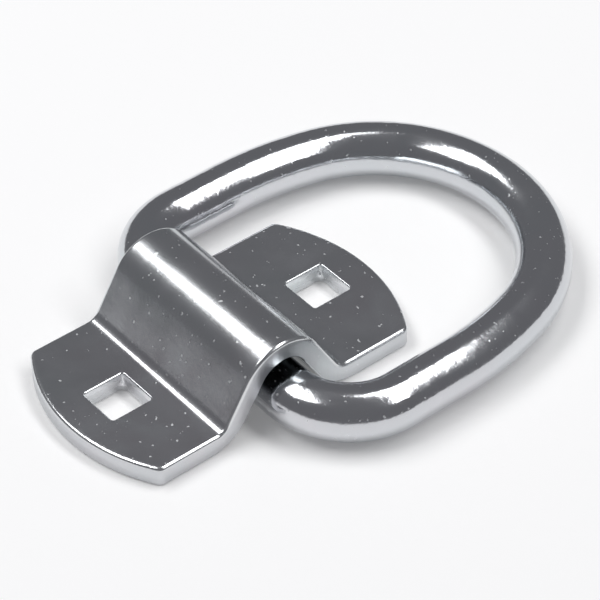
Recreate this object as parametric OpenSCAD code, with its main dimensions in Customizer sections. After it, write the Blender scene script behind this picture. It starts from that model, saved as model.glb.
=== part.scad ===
// Bolt-on tie-down ring: a D-shaped ring of round bar, held down by a pressed
// strip of steel whose arch lies over the straight side of the ring.
// X runs along the straight side, Y towards the bow of the ring and Z up from
// the mounting face. The origin lies midway between the two bolt holes.

/* [Ring] */
// Diameter of the round bar
bar_d = 12.7; // [9.5:0.1:14]
// Clear length inside the ring, from its straight side to its bow
ring_inside_l = 68; // [58:0.1:100]
// Inside radius of the two bends at the ends of the straight side
bend_r = 10.35; // [6:0.05:14]
// How far the bends start inside the edges of the bracket
bend_inset = 1.3; // [0:0.1:2.5]
// How much tighter the bow curves than the sides, as a difference in radius
curve_step = 45; // [25:0.5:80]

/* [Ring in the arch] */
// Gap between the bar and each wall of the arch, with the bar in the middle
bar_side_gap = 1.6; // [1.3:0.05:2.5]
// Gap left to the wall on the bow's side, where the bar rests
bar_rest_gap = 0.75; // [0.6:0.05:1.2]
// Headroom over the bar
bar_headroom = 3.3; // [2:0.1:5]
// How far the ring has slid along the arch towards +X
ring_slide = 1.3; // [0:0.1:2]

/* [Bracket strip] */
// Thickness of the strip
strip_t = 4.76; // [3:0.01:6]
// Width of the strip, along the bar
strip_w = 46.2; // [40:0.2:60]
// Steel left between each bolt hole and the rounded end of the strip
end_land = 8.2; // [5:0.1:16]
// Radius of the corners in the outline of the strip
corner_r = 2.2; // [1:0.1:5]

/* [Arch] */
// Lean of the walls from upright, in degrees
wall_lean = 31; // [25:0.5:34]
// Radius of the crease between wall and flange, on top
crease_r = 3; // [2:0.1:6]
// Radius of the flare into the arch, underneath
flare_r = 12; // [8:0.5:14]
// Place of the arch from the middle of the strip, along Y
arch_y = -1.1; // [-2:0.1:2]

/* [Bolt holes] */
// Side of the square holes
hole_w = 10.3; // [8:0.1:11]
// Distance between the centres of the holes
hole_spacing = 54.8; // [54:0.1:76]
// Radius in the corners of the holes
hole_corner_r = 0.8; // [0.4:0.1:2]
// Depth of the bevelled rim round the top of the holes
hole_rim = 0.3; // [0.1:0.05:0.8]

/* [Hidden] */
$fn = 96;
// Depth by which shapes run past each other before they are joined or cut
past = 1;
// An arc sinks this far past the face it runs into, so that the two always cross.
blend = 0.0005;

// The arch follows the bar: its inner crown gives the side gaps and the headroom together.
function to_micron(size) = round(size * 1000) / 1000;
bar_r = bar_d / 2;
lean_rise = sin(wall_lean);
crown_inner_r = to_micron((bar_r + bar_side_gap - lean_rise * (bar_r + bar_headroom)) / (1 - lean_rise));
crown_outer_r = crown_inner_r + strip_t;
crown_z = bar_d + bar_headroom - crown_inner_r;
bar_y = arch_y + (bar_side_gap - bar_rest_gap) / cos(wall_lean);

// Both rounded ends lie on one circle about the origin.
end_r = (hole_spacing + hole_w) / 2 + end_land;

// The ring's centre line goes from the straight side through a bend, a leg and a side curve to the bow.
// Each side curve turns by an angle of the triangle with sides of 7, 24 and 25, so that the
// centres of side curve and bow lie at whole parts of their distance.
bend_line_r = bend_r + bar_r;
straight_half = strip_w / 2 - bend_inset;
leg_x = straight_half + bend_line_r;
side_turn = atan2(7, 24);
side_curve_r = leg_x + curve_step * 24 / 25;
bow_line_r = side_curve_r - curve_step;
leg_end_y = ring_inside_l + bar_d - bow_line_r - curve_step * 7 / 25;

// Stands a section of the arch, drawn as Y and Z and raised by its width, in place along X.
module across_strip(width) {
    rotate([90, 0, 90]) translate([arch_y, crown_z, -width / 2]) children();
}

// One side of the body under a skin of the arch, from the axis of its crown:
// the leaning wall, then the hollow corner that leads into the flat.
module wall_and_foot(flat_z, crown_r, foot_r, width) {
    wall_l = (crown_z + (crown_r + foot_r) * sin(wall_lean) - flat_z - foot_r + blend) / cos(wall_lean);
    reach = foot_r + past;
    rotate([0, 0, wall_lean]) {
        translate([0, -wall_l, 0]) cube([crown_r, wall_l, width]);
        translate([crown_r + foot_r, -wall_l, 0]) difference() {
            linear_extrude(width) polygon([
                [0, 0], [-reach, 0], [-reach, -reach * tan((90 - wall_lean) / 2)],
                [-reach * sin(wall_lean), -reach * cos(wall_lean)]
            ]);
            translate([0, 0, -past]) cylinder(r = foot_r, h = width + 2 * past);
        }
    }
}

// The whole body under a skin of the arch, down to the flat that the skin runs into
module under_skin(flat_z, crown_r, foot_r, width) {
    core_top = (crown_r - past / 2) / cos(wall_lean);
    core_h = crown_z - flat_z + past / 2;
    core_bottom = core_top + core_h * tan(wall_lean);
    across_strip(width) {
        cylinder(r = crown_r, h = width);
        linear_extrude(width)
            polygon([[-core_top, 0], [core_top, 0], [core_bottom, -core_h], [-core_bottom, -core_h]]);
        wall_and_foot(flat_z, crown_r, foot_r, width);
        mirror([1, 0, 0]) wall_and_foot(flat_z, crown_r, foot_r, width);
    }
}

// What rounding takes off one corner of the outline
module corner_waste() {
    line_r = end_r - corner_r + blend;
    line_x = strip_w / 2 - corner_r + blend;
    end_turn = asin(line_x / line_r);
    reach = 2 * corner_r;
    translate([line_x, line_r * cos(end_turn), -past]) difference() {
        linear_extrude(strip_t + 2 * past)
            polygon([[0, 0], [reach, 0], [reach, reach], [reach * sin(end_turn), reach * cos(end_turn)]]);
        translate([0, 0, -past]) cylinder(r = corner_r, h = strip_t + 4 * past);
    }
}

// Square plug with rounded corners, whose sides lean out by grow over its height
module square_plug(grow, height) {
    core = hole_w - 2 * hole_corner_r;
    side = [[-hole_w / 2, 0], [hole_w / 2, 0], [hole_w / 2 + grow, height], [-hole_w / 2 - grow, height]];
    rotate([90, 0, 0]) linear_extrude(core, center = true) polygon(side);
    rotate([90, 0, 90]) linear_extrude(core, center = true) polygon(side);
    for (x = [-core / 2, core / 2], y = [-core / 2, core / 2])
        translate([x, y, 0]) cylinder(r1 = hole_corner_r, r2 = hole_corner_r + grow, h = height);
}

module bolt_hole() {
    translate([0, 0, -past]) square_plug(0, strip_t + 2 * past);
    translate([0, 0, strip_t - hole_rim]) square_plug(hole_rim + past, hole_rim + past);
}

module mounting_bracket() {
    color("lightsteelblue") difference() {
        intersection() {
            union() {
                translate([-strip_w, -2 * end_r, 0]) cube([2 * strip_w, 4 * end_r, strip_t]);
                under_skin(strip_t, crown_outer_r, crease_r, 2 * strip_w);
            }
            linear_extrude(crown_z + 2 * crown_outer_r) intersection() {
                circle(end_r, $fn = 180);
                square([strip_w, 2 * end_r], center = true);
            }
        }
        under_skin(0, crown_inner_r, flare_r, strip_w + 2 * past);
        for (side = [0, 1], end = [0, 1]) mirror([side, 0, 0]) mirror([0, end, 0]) corner_waste();
        for (y = [-hole_spacing / 2, hole_spacing / 2]) translate([0, y, 0]) bolt_hole();
    }
}

// Half of the ring, from the middle of its straight side to the middle of its bow
module half_ring() {
    rotate([0, 90, 0]) cylinder(r = bar_r, h = straight_half);
    translate([straight_half, bend_line_r, 0])
        rotate_extrude(angle = 90, start = -90) translate([bend_line_r, 0]) circle(bar_r);
    translate([leg_x, bend_line_r, 0]) rotate([-90, 0, 0]) cylinder(r = bar_r, h = leg_end_y - bend_line_r);
    // Side curve and bow are swept past their ends, then trimmed at the leg and at the middle.
    intersection() {
        translate([leg_x - side_curve_r, leg_end_y, 0]) rotate([0, 0, side_turn]) {
            rotate_extrude(angle = -20) translate([side_curve_r, 0]) circle(bar_r);
            translate([curve_step, 0, 0]) rotate_extrude(angle = 80) translate([bow_line_r, 0]) circle(bar_r);
        }
        translate([0, leg_end_y, -bar_d]) cube([leg_x + bar_d, ring_inside_l, 2 * bar_d]);
    }
}

module d_ring() {
    color("silver") translate([ring_slide, bar_y, bar_r]) {
        half_ring();
        mirror([1, 0, 0]) half_ring();
    }
}

mounting_bracket();
d_ring();
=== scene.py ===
import math
import bpy
import bmesh
from mathutils import Matrix, Vector, noise


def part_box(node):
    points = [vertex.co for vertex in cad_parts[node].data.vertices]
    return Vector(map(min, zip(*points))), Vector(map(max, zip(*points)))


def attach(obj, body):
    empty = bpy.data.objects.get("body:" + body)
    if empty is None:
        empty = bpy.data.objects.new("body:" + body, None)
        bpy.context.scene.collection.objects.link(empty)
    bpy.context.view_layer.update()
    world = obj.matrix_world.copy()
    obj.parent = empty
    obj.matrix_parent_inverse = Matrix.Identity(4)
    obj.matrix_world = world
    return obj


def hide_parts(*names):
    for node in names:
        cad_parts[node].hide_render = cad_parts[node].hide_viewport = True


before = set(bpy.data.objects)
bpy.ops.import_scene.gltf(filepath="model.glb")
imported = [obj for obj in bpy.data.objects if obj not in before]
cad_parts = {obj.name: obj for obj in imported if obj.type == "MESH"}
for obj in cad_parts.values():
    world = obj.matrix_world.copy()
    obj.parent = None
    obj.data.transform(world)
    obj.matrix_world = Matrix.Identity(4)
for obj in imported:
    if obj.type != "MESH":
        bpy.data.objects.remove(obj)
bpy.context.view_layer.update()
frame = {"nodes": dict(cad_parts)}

scene = bpy.context.scene
scene.view_settings.view_transform = "Standard"
print("frame loaded:", ", ".join(frame["nodes"]))

# Camera: the photograph's angle, found from the bracket's and the ring's outlines.
cameraSpec = {
    "azimuth": 50.4526,
    "elevation": 42.1001,
    "distance": 0.60253,
    "target": (-0.002958, 0.024779, 0.0),
    "sensor": 36.0,
    "focalPixels": 2722.34,
    "framePixels": 600,
}


def viewDirection(azimuth, elevation):
    a, e = math.radians(azimuth), math.radians(elevation)
    return Vector((math.sin(a) * math.cos(e), -math.cos(a) * math.cos(e), math.sin(e)))


def makeCamera(spec):
    data = bpy.data.cameras.new("photoCamera")
    data.sensor_width = spec["sensor"]
    data.lens = spec["sensor"] * spec["focalPixels"] / spec["framePixels"]
    data.clip_start = 0.01
    camera = bpy.data.objects.new("photoCamera", data)
    back = viewDirection(spec["azimuth"], spec["elevation"])
    camera.location = Vector(spec["target"]) + back * spec["distance"]
    camera.rotation_euler = back.to_track_quat("Z", "Y").to_euler()
    scene.collection.objects.link(camera)
    scene.camera = camera
    return camera


makeCamera(cameraSpec)
print("camera placed")


# Small helpers for meshes.
def newPiece(name, bm, body, node, material):
    mesh = bpy.data.meshes.new(name)
    bm.to_mesh(mesh)
    bm.free()
    piece = bpy.data.objects.new(name, mesh)
    scene.collection.objects.link(piece)
    mesh.materials.append(material)
    for face in mesh.polygons:
        face.use_smooth = True
    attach(piece, body)
    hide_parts(node)
    print(name, "made with", len(mesh.polygons), "faces")
    return piece


def boundaryEdges(bm):
    return [edge for edge in bm.edges if edge.is_boundary or edge.is_wire]


# Materials.
def addNode(tree, kind, **values):
    node = tree.nodes.new(kind)
    for key, value in values.items():
        if hasattr(node, key):
            setattr(node, key, value)
        else:
            node.inputs[key.replace("_", " ").title() if key not in node.inputs else key].default_value = value
    return node


def mixColour(tree, factor, first, second, blend="MIX"):
    node = tree.nodes.new("ShaderNodeMix")
    node.data_type = "RGBA"
    node.blend_type = blend
    for socket, value in ((node.inputs[0], factor), (node.inputs[6], first), (node.inputs[7], second)):
        if isinstance(value, bpy.types.NodeSocket):
            tree.links.new(value, socket)
        else:
            socket.default_value = value
    return node.outputs[2]


def mathNode(tree, operation, first, second=None, clamp=False):
    node = tree.nodes.new("ShaderNodeMath")
    node.operation = operation
    node.use_clamp = clamp
    for socket, value in ((node.inputs[0], first), (node.inputs[1], second)):
        if isinstance(value, bpy.types.NodeSocket):
            tree.links.new(value, socket)
        elif value is not None:
            socket.default_value = value
    return node.outputs[0]


def rangeNode(tree, value, low, high, toLow=0.0, toHigh=1.0):
    node = tree.nodes.new("ShaderNodeMapRange")
    node.clamp = True
    tree.links.new(value, node.inputs["Value"])
    node.inputs["From Min"].default_value = low
    node.inputs["From Max"].default_value = high
    node.inputs["To Min"].default_value = toLow
    node.inputs["To Max"].default_value = toHigh
    return node.outputs["Result"]


def noiseNode(tree, vector, scale, detail=2.0, roughness=0.5, distortion=0.0):
    node = tree.nodes.new("ShaderNodeTexNoise")
    tree.links.new(vector, node.inputs["Vector"])
    node.inputs["Scale"].default_value = scale
    node.inputs["Detail"].default_value = detail
    node.inputs["Roughness"].default_value = roughness
    node.inputs["Distortion"].default_value = distortion
    return node.outputs["Fac"]


def attributeNode(tree, name):
    node = tree.nodes.new("ShaderNodeAttribute")
    node.attribute_name = name
    return node.outputs["Fac"]


def zincFinish(name, spec):
    material = bpy.data.materials.new(name)
    material.use_nodes = True
    tree = material.node_tree
    shader = tree.nodes["Principled BSDF"]
    shader.inputs["Metallic"].default_value = 1.0
    place = tree.nodes.new("ShaderNodeTexCoord").outputs["Object"]

    cloud = noiseNode(tree, place, spec["cloudScale"], 3.0, 0.55, 0.4)
    drift = noiseNode(tree, place, spec["driftScale"], 2.0)
    grain = noiseNode(tree, place, spec["grainScale"], 3.0, 0.65)
    dents = noiseNode(tree, place, spec["dentScale"], 2.0, 0.5, 0.3)
    specks = noiseNode(tree, place, spec["speckScale"], 1.0, 0.5)
    rim = attributeNode(tree, "rim")
    sheared = attributeNode(tree, "sheared")

    tint = mixColour(tree, rangeNode(tree, drift, 0.38, 0.62), spec["coolTint"], spec["warmTint"])
    clouded = mixColour(tree, rangeNode(tree, cloud, 0.35, 0.7), tint, spec["cloudTint"])
    speckMask = rangeNode(tree, specks, spec["speckFrom"], spec["speckFrom"] + 0.05)
    speckled = mixColour(tree, mathNode(tree, "MULTIPLY", speckMask, 0.7), clouded, spec["speckTint"])
    # The rolled and bevelled edges picked by the rim mask are painted lighter here: a painted highlight along
    # the rims.
    rimHighlighted = mixColour(tree, mathNode(tree, "MULTIPLY", rim, 0.6), speckled, spec["rimHighlightTint"])
    tree.links.new(rimHighlighted, shader.inputs["Base Color"])

    rough = rangeNode(tree, cloud, 0.3, 0.75, spec["roughLow"], spec["roughHigh"])
    rough = mathNode(tree, "ADD", rough, mathNode(tree, "MULTIPLY", speckMask, 0.3))
    rough = mathNode(tree, "ADD", rough, mathNode(tree, "MULTIPLY", sheared, spec["shearedRough"]), clamp=True)
    tree.links.new(rough, shader.inputs["Roughness"])

    # The sheared faces carry fine strokes along the punch's travel.
    strokePlace = tree.nodes.new("ShaderNodeMapping")
    strokePlace.inputs["Scale"].default_value = (1.0, 1.0, 0.06)
    tree.links.new(place, strokePlace.inputs["Vector"])
    strokes = noiseNode(tree, strokePlace.outputs["Vector"], spec["strokeScale"], 3.0, 0.6)

    height = mathNode(tree, "MULTIPLY", grain, spec["grainHeight"])
    height = mathNode(tree, "ADD", height, mathNode(tree, "MULTIPLY", dents, spec["dentHeight"]))
    height = mathNode(tree, "ADD", height, mathNode(tree, "MULTIPLY", speckMask, spec["speckHeight"]))
    cut = mathNode(tree, "MULTIPLY", mathNode(tree, "MULTIPLY", strokes, sheared), spec["strokeHeight"])
    height = mathNode(tree, "ADD", height, cut)
    bump = tree.nodes.new("ShaderNodeBump")
    bump.inputs["Strength"].default_value = 1.0
    bump.inputs["Distance"].default_value = 0.001
    tree.links.new(height, bump.inputs["Height"])
    tree.links.new(bump.outputs["Normal"], shader.inputs["Normal"])
    return material


# Bracket: a flat blank with convex ends and two square holes, then pressed over the arch.
bracketSpec = {
    "thickness": 0.00476,
    "width": 0.0462,
    "cornerRadius": 0.0022,
    "holeWidth": 0.0103,
    "holeSpacing": 0.0548,
    "endLand": 0.0082,
    "barRadius": 0.00635,
    "barSideGap": 0.0016,
    "barHeadroom": 0.0033,
    "wallLean": math.radians(31),
    "creaseRadius": 0.003,
    "flareRadius": 0.012,
    "archY": -0.0011,
    "rollTop": 0.0008,
    "rollUnder": 0.00035,
    "rollSteps": 4,
    "holeRim": 0.0003,
    "holeCornerTop": 0.0006,
    "holeCornerUnder": 0.0015,
    "endSteps": 18,
    "cornerSteps": 8,
    "cell": 0.0009,
    "waveDepth": 0.00002,
}


def archShape(spec):
    rise = math.sin(spec["wallLean"])
    bar, side, head = spec["barRadius"], spec["barSideGap"], spec["barHeadroom"]
    inner = (bar + side - rise * (bar + head)) / (1 - rise)
    outer = inner + spec["thickness"]
    crownZ = 2 * bar + head - inner
    turn = math.pi / 2 - spec["wallLean"]      # how far the wall leans out from the crest's normal
    normal = Vector((math.sin(turn), math.cos(turn)))
    along = Vector((math.cos(turn), -math.sin(turn)))
    tangent = math.tan(turn / 2)
    # where the wall's two skins would meet the flange's two skins
    drop = (crownZ + inner * normal.y) / -along.y
    underMeet = Vector((0, crownZ)) + normal * inner + along * drop
    topDrop = (crownZ + outer * normal.y - spec["thickness"]) / -along.y
    topMeet = Vector((0, crownZ)) + normal * outer + along * topDrop
    flareCut = spec["flareRadius"] * tangent
    creaseCut = spec["creaseRadius"] * tangent
    return {
        "inner": inner, "outer": outer, "crownZ": crownZ, "turn": turn, "normal": normal, "along": along,
        "flareStart": underMeet - along * flareCut, "reach": underMeet.x + flareCut,
        "creaseStart": topMeet - along * creaseCut, "creaseEnd": topMeet.x + creaseCut,
        "crownShare": 0.42, "wallShare": 0.52,
    }


def arcPoint(start, along, normal, radius, angle):
    # a point on a concave arc that leaves start in the direction along and turns to the flat
    return start + along * (radius * math.sin(angle)) + normal * (radius * (1 - math.cos(angle)))


def skinPoints(spec, arch, share):
    # share 0 is the crest's middle, 1 the end of the flare
    thickness = spec["thickness"]
    centre = Vector((0, arch["crownZ"]))
    if share <= arch["crownShare"]:
        angle = arch["turn"] * share / arch["crownShare"]
        out = Vector((math.sin(angle), math.cos(angle)))
        return centre + out * arch["inner"], centre + out * arch["outer"]
    wallTop = centre + arch["normal"] * arch["inner"]
    if share <= arch["wallShare"]:
        part = (share - arch["crownShare"]) / (arch["wallShare"] - arch["crownShare"])
        under = wallTop.lerp(arch["flareStart"], part)
        return under, under + arch["normal"] * thickness
    part = (share - arch["wallShare"]) / (1 - arch["wallShare"])
    under = arcPoint(arch["flareStart"], arch["along"], arch["normal"], spec["flareRadius"], part * arch["turn"])
    # the top skin covers the rest of the wall, the tight crease and the start of the flat
    topStart = arch["flareStart"] + arch["normal"] * thickness
    wallLength = (arch["creaseStart"] - topStart).length
    creaseLength = spec["creaseRadius"] * arch["turn"]
    flatLength = arch["reach"] - arch["creaseEnd"]
    walked = part * (wallLength + creaseLength + flatLength)
    if walked <= wallLength:
        top = topStart + arch["along"] * walked
    elif walked <= wallLength + creaseLength:
        angle = (walked - wallLength) / spec["creaseRadius"]
        top = arcPoint(arch["creaseStart"], arch["along"], arch["normal"], spec["creaseRadius"], angle)
    else:
        top = Vector((arch["creaseEnd"] + walked - wallLength - creaseLength, thickness))
    return under, top


def blankLoop(bm, spec, inset, z):
    endRadius = (spec["holeSpacing"] + spec["holeWidth"]) / 2 + spec["endLand"]
    corner = spec["cornerRadius"]
    cornerX = spec["width"] / 2 - corner
    cornerY = math.sqrt((endRadius - corner) ** 2 - cornerX ** 2)
    endAngle = math.atan2(cornerX, cornerY)
    upright = (0, 0, 1)
    first = bm.verts.new((0, endRadius - inset, z))
    made = bmesh.ops.spin(bm, geom=[first], cent=(0, 0, z), axis=upright, angle=-endAngle,
                          steps=spec["endSteps"], use_duplicate=False)
    last = [item for item in made["geom_last"] if isinstance(item, bmesh.types.BMVert)]
    made = bmesh.ops.spin(bm, geom=last, cent=(cornerX, cornerY, z), axis=upright,
                          angle=-(math.pi / 2 - endAngle), steps=spec["cornerSteps"], use_duplicate=False)
    last = [item for item in made["geom_last"] if isinstance(item, bmesh.types.BMVert)]
    made = bmesh.ops.spin(bm, geom=last, cent=(0, 0, 0), axis=upright, angle=0,
                          dvec=(0, -cornerY, 0), steps=1, use_duplicate=False)
    quarter = [vert for vert in bm.verts if vert.tag is False]
    for axis in ("X", "Y"):
        geom = [v for v in bm.verts if not v.tag] + [e for e in bm.edges if not e.tag]
        bmesh.ops.mirror(bm, geom=geom, matrix=Matrix.Identity(4), merge_dist=1e-7, axis=axis)
    loop = [e for e in bm.edges if not e.tag]
    for item in list(bm.verts) + list(bm.edges):
        item.tag = True
    return loop


def holeLoop(bm, spec, side, grow, corner, z):
    half = spec["holeWidth"] / 2 + grow
    radius = corner + grow
    start = bm.verts.new((half, 0, z))
    steps = spec["cornerSteps"]
    made = bmesh.ops.spin(bm, geom=[start], cent=(0, 0, 0), axis=(0, 0, 1), angle=0,
                          dvec=(0, half - radius, 0), steps=1, use_duplicate=False)
    last = [item for item in made["geom_last"] if isinstance(item, bmesh.types.BMVert)]
    made = bmesh.ops.spin(bm, geom=last, cent=(half - radius, half - radius, z), axis=(0, 0, 1),
                          angle=math.pi / 2, steps=steps, use_duplicate=False)
    last = [item for item in made["geom_last"] if isinstance(item, bmesh.types.BMVert)]
    bmesh.ops.spin(bm, geom=last, cent=(0, 0, 0), axis=(0, 0, 1), angle=0,
                   dvec=(-(half - radius), 0, 0), steps=1, use_duplicate=False)
    for axis in ("X", "Y"):
        geom = [v for v in bm.verts if not v.tag] + [e for e in bm.edges if not e.tag]
        bmesh.ops.mirror(bm, geom=geom, matrix=Matrix.Identity(4), merge_dist=1e-7, axis=axis)
    fresh = [v for v in bm.verts if not v.tag]
    bmesh.ops.translate(bm, verts=fresh, vec=(0, side * spec["holeSpacing"] / 2, 0))
    loop = [e for e in bm.edges if not e.tag]
    for item in list(bm.verts) + list(bm.edges):
        item.tag = True
    return loop


def bridgeStack(bm, loops):
    for lower, upper in zip(loops, loops[1:]):
        made = bmesh.ops.bridge_loops(bm, edges=lower + upper)
        for item in list(made["edges"]) + list(made["faces"]):
            item.tag = True


def makeBracket(spec, material):
    bm = bmesh.new()
    rimHighlightLayer = bm.verts.layers.float.new("rim")
    shearLayer = bm.verts.layers.float.new("sheared")
    thick = spec["thickness"]
    roll, under, steps = spec["rollTop"], spec["rollUnder"], spec["rollSteps"]

    outline = []
    for step in range(steps + 1):
        angle = math.pi / 2 * step / steps
        outline.append(blankLoop(bm, spec, under * (1 - math.sin(angle)), under * (1 - math.cos(angle))))
    for step in range(steps + 1):
        angle = math.pi / 2 * step / steps
        outline.append(blankLoop(bm, spec, roll * (1 - math.cos(angle)), thick - roll * (1 - math.sin(angle))))
    bridgeStack(bm, outline)

    rim = spec["holeRim"]
    holes = []
    for side in (-1, 1):
        rows = (
            (rim, spec["holeCornerUnder"], 0.0), (0.3 * rim, spec["holeCornerUnder"], 0.3 * rim),
            (0.0, spec["holeCornerUnder"], rim), (0.0, spec["holeCornerUnder"], 0.42 * thick),
            (0.0, spec["holeCornerTop"], 0.6 * thick), (0.0, spec["holeCornerTop"], thick - rim),
            (0.3 * rim, spec["holeCornerTop"], thick - 0.3 * rim), (rim, spec["holeCornerTop"], thick),
        )
        loops = [holeLoop(bm, spec, side, *row) for row in rows]
        bridgeStack(bm, loops)
        holes.append(loops)

    bmesh.ops.triangle_fill(bm, use_beauty=True, use_dissolve=False,
                            edges=outline[0] + holes[0][0] + holes[1][0], normal=(0, 0, -1))
    bmesh.ops.triangle_fill(bm, use_beauty=True, use_dissolve=False,
                            edges=outline[-1] + holes[0][-1] + holes[1][-1], normal=(0, 0, 1))
    bmesh.ops.recalc_face_normals(bm, faces=bm.faces)

    arch = archShape(spec)
    cell = spec["cell"]
    lowX, highX = -spec["width"] / 2, spec["width"] / 2
    columns = int((highX - lowX) / cell)
    for column in range(1, columns):
        x = lowX + (highX - lowX) * column / columns
        bmesh.ops.bisect_plane(bm, geom=bm.verts[:] + bm.edges[:] + bm.faces[:], dist=1e-7,
                               plane_co=(x, 0, 0), plane_no=(1, 0, 0))
    rows = 72
    for row in range(rows + 1):
        y = spec["archY"] + arch["reach"] * (2 * row / rows - 1)
        bmesh.ops.bisect_plane(bm, geom=bm.verts[:] + bm.edges[:] + bm.faces[:], dist=1e-7,
                               plane_co=(0, y, 0), plane_no=(0, 1, 0))
    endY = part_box("mounting_bracket")[1][1]
    flangeRows = int((endY - arch["reach"]) / cell)
    for side in (-1, 1):
        start = spec["archY"] + side * arch["reach"]
        for row in range(1, flangeRows):
            y = start + (side * endY - start) * row / flangeRows
            bmesh.ops.bisect_plane(bm, geom=bm.verts[:] + bm.edges[:] + bm.faces[:], dist=1e-7,
                                   plane_co=(0, y, 0), plane_no=(0, 1, 0))

    for vert in bm.verts:
        upright = abs(vert.normal.z)
        vert[shearLayer] = 1.0 if upright < 0.2 else 0.0
        # rim picks the rolled and bevelled edge faces, which the material paints lighter as a painted highlight.
        vert[rimHighlightLayer] = 1.0 if 0.2 <= upright <= 0.95 else 0.0

    for vert in bm.verts:
        offset = vert.co.y - spec["archY"]
        share = abs(offset) / arch["reach"]
        if share < 1:
            low, top = skinPoints(spec, arch, share)
            spot = low.lerp(top, vert.co.z / thick)
            vert.co.y = spec["archY"] + math.copysign(spot.x, offset)
            vert.co.z = spot.y
    bm.normal_update()
    for vert in bm.verts:
        wave = noise.noise(vert.co * 160) * 0.6 + noise.noise(vert.co * 420) * 0.4
        vert.co -= vert.normal * spec["waveDepth"] * (1 + wave)
    bm.normal_update()
    return newPiece("bracketPlate", bm, "bracket", "mounting_bracket", material)


# Ring: a round bar bent to a D.
ringSpec = {
    "barRadius": 0.00635,
    "insideLength": 0.068,
    "bendRadius": 0.01035,
    "stripWidth": 0.0462,
    "bendInset": 0.0013,
    "curveStep": 0.045,
    "slide": 0.0013,
    "around": 72,
    "cell": 0.00058,
    "dentDepth": 0.00007,
}


def makeRing(spec, material):
    bar = spec["barRadius"]
    bendLine = spec["bendRadius"] + bar
    straightHalf = spec["stripWidth"] / 2 - spec["bendInset"]
    legX = straightHalf + bendLine
    sideTurn = math.atan2(7, 24)
    sideRadius = legX + spec["curveStep"] * 24 / 25
    bowRadius = sideRadius - spec["curveStep"]
    bowCentreY = spec["insideLength"] + bar - bowRadius + bar
    legEnd = bowCentreY - spec["curveStep"] * 7 / 25

    bm = bmesh.new()
    rimHighlightLayer = bm.verts.layers.float.new("rim")
    shearLayer = bm.verts.layers.float.new("sheared")
    bmesh.ops.create_circle(bm, cap_ends=False, radius=bar, segments=spec["around"],
                            matrix=Matrix.Rotation(math.pi / 2, 4, "Y"))
    front = bm.verts[:] + bm.edges[:]

    def push(geom, shift):
        steps = max(1, round(Vector(shift).length / spec["cell"]))
        made = bmesh.ops.spin(bm, geom=geom, cent=(0, 0, 0), axis=(0, 0, 1), angle=0,
                              dvec=Vector(shift) / steps, steps=steps, use_duplicate=False)
        return made["geom_last"]

    def turn(geom, centre, angle, radius):
        steps = max(1, round(angle * radius / spec["cell"]))
        made = bmesh.ops.spin(bm, geom=geom, cent=centre, axis=(0, 0, 1), angle=angle,
                              dvec=(0, 0, 0), steps=steps, use_duplicate=False)
        return made["geom_last"]

    front = push(front, (straightHalf, 0, 0))
    front = turn(front, (straightHalf, bendLine, 0), math.pi / 2, bendLine)
    front = push(front, (0, legEnd - bendLine, 0))
    front = turn(front, (legX - sideRadius, legEnd, 0), sideTurn, sideRadius)
    front = turn(front, (0, bowCentreY, 0), math.pi / 2 - sideTurn, bowRadius)
    bmesh.ops.mirror(bm, geom=bm.verts[:] + bm.edges[:] + bm.faces[:], matrix=Matrix.Identity(4),
                     merge_dist=1e-6, axis="X")
    bmesh.ops.remove_doubles(bm, verts=bm.verts[:], dist=1e-6)
    bmesh.ops.recalc_face_normals(bm, faces=bm.faces[:])
    low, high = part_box("d_ring")
    shift = Vector(((low[0] + high[0]) / 2, low[1] + bar, low[2] + bar))
    bmesh.ops.translate(bm, verts=bm.verts[:], vec=shift)
    bm.normal_update()
    for vert in bm.verts:
        dents = max(0.0, noise.noise(vert.co * 700)) + 0.5 * max(0.0, noise.noise(vert.co * 1500))
        wave = 0.5 + 0.5 * noise.noise(vert.co * 130)
        vert.co -= vert.normal * spec["dentDepth"] * (0.5 * dents + 0.3 * wave)
    bm.normal_update()
    return newPiece("ringBar", bm, "ring", "d_ring", material)


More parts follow.
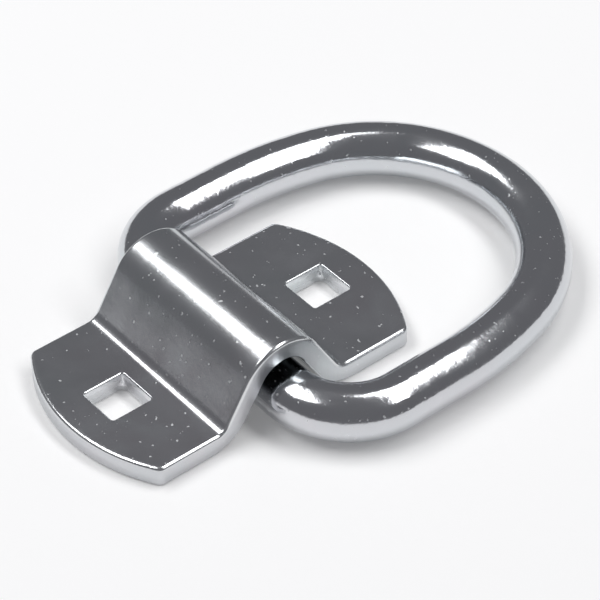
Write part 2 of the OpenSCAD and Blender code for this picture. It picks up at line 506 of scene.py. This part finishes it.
bracketZinc = zincFinish("bracketZinc", {
    "cloudScale": 90.0, "driftScale": 22.0, "grainScale": 3200.0, "dentScale": 900.0, "speckScale": 900.0,
    "coolTint": (0.60, 0.64, 0.65, 1), "warmTint": (0.64, 0.625, 0.65, 1), "cloudTint": (0.62, 0.635, 0.655, 1),
    # The rim tint is a painted highlight along the rolled and bevelled edges.
    "speckTint": (0.85, 0.87, 0.88, 1), "rimHighlightTint": (0.80, 0.82, 0.83, 1), "speckFrom": 0.72,
    "roughLow": 0.16, "roughHigh": 0.24, "shearedRough": 0.12,
    "strokeScale": 1500.0, "grainHeight": 0.006, "dentHeight": 0.008, "speckHeight": 0.01, "strokeHeight": 0.03,
})
ringZinc = zincFinish("ringZinc", {
    "cloudScale": 110.0, "driftScale": 26.0, "grainScale": 3000.0, "dentScale": 1100.0, "speckScale": 1000.0,
    "coolTint": (0.61, 0.64, 0.66, 1), "warmTint": (0.64, 0.63, 0.66, 1), "cloudTint": (0.62, 0.635, 0.655, 1),
    # The rim tint is a painted highlight on edges; the ring's rim mask is never filled, so it stays unused here.
    "speckTint": (0.85, 0.87, 0.88, 1), "rimHighlightTint": (0.80, 0.82, 0.83, 1), "speckFrom": 0.72,
    "roughLow": 0.10, "roughHigh": 0.18, "shearedRough": 0.0,
    "strokeScale": 1500.0, "grainHeight": 0.006, "dentHeight": 0.02, "speckHeight": 0.01, "strokeHeight": 0.0,
})

makeBracket(bracketSpec, bracketZinc)
makeRing(ringSpec, ringZinc)

# Studio: a white floor, a dim room and two softboxes overhead.
studioSpec = {
    "floorSize": 3.0,
    "floorColour": (0.93, 0.93, 0.93, 1),
    "floorLift": 0.12,
    "roomLight": (0.17, 0.17, 0.18, 1),
    "lampHeight": 1.0,
    "softboxes": (
        ("softboxBack", (0.40, 0.45), (1.25, 0.34), 0.0, 5.0),
        ("softboxFront", (-0.42, -0.36), (0.90, 0.50), -48.0, 5.0),
    ),
}


def makeStudio(spec):
    bpy.ops.mesh.primitive_plane_add(size=spec["floorSize"], location=(0, 0, -0.0002))
    floor = bpy.context.object
    floor.name = "studioFloor"
    material = bpy.data.materials.new("floorPaper")
    material.use_nodes = True
    tree = material.node_tree
    shader = tree.nodes["Principled BSDF"]
    shader.inputs["Base Color"].default_value = spec["floorColour"]
    shader.inputs["Roughness"].default_value = 1.0
    shader.inputs["Specular IOR Level"].default_value = 0.0
    rays = tree.nodes.new("ShaderNodeLightPath")
    seen = mathNode(tree, "MAXIMUM", rays.outputs["Is Camera Ray"], rays.outputs["Is Glossy Ray"])
    shader.inputs["Emission Color"].default_value = (1, 1, 1, 1)
    tree.links.new(mathNode(tree, "MULTIPLY", seen, spec["floorLift"]), shader.inputs["Emission Strength"])
    floor.data.materials.append(material)

    world = bpy.data.worlds.new("studioRoom")
    scene.world = world
    world.use_nodes = True
    tree = world.node_tree
    background = tree.nodes["Background"]
    background.inputs["Color"].default_value = spec["roomLight"]
    background.inputs["Strength"].default_value = 1.0

    for name, (x, y), (long, wide), turn, radiance in spec["softboxes"]:
        data = bpy.data.lights.new(name, "AREA")
        data.shape = "RECTANGLE"
        data.size, data.size_y = long, wide
        data.energy = radiance * math.pi * long * wide
        lamp = bpy.data.objects.new(name, data)
        lamp.location = (x, y, spec["lampHeight"])
        lamp.rotation_euler = (0, 0, math.radians(turn))
        scene.collection.objects.link(lamp)
    print("studio lit")


makeStudio(studioSpec)
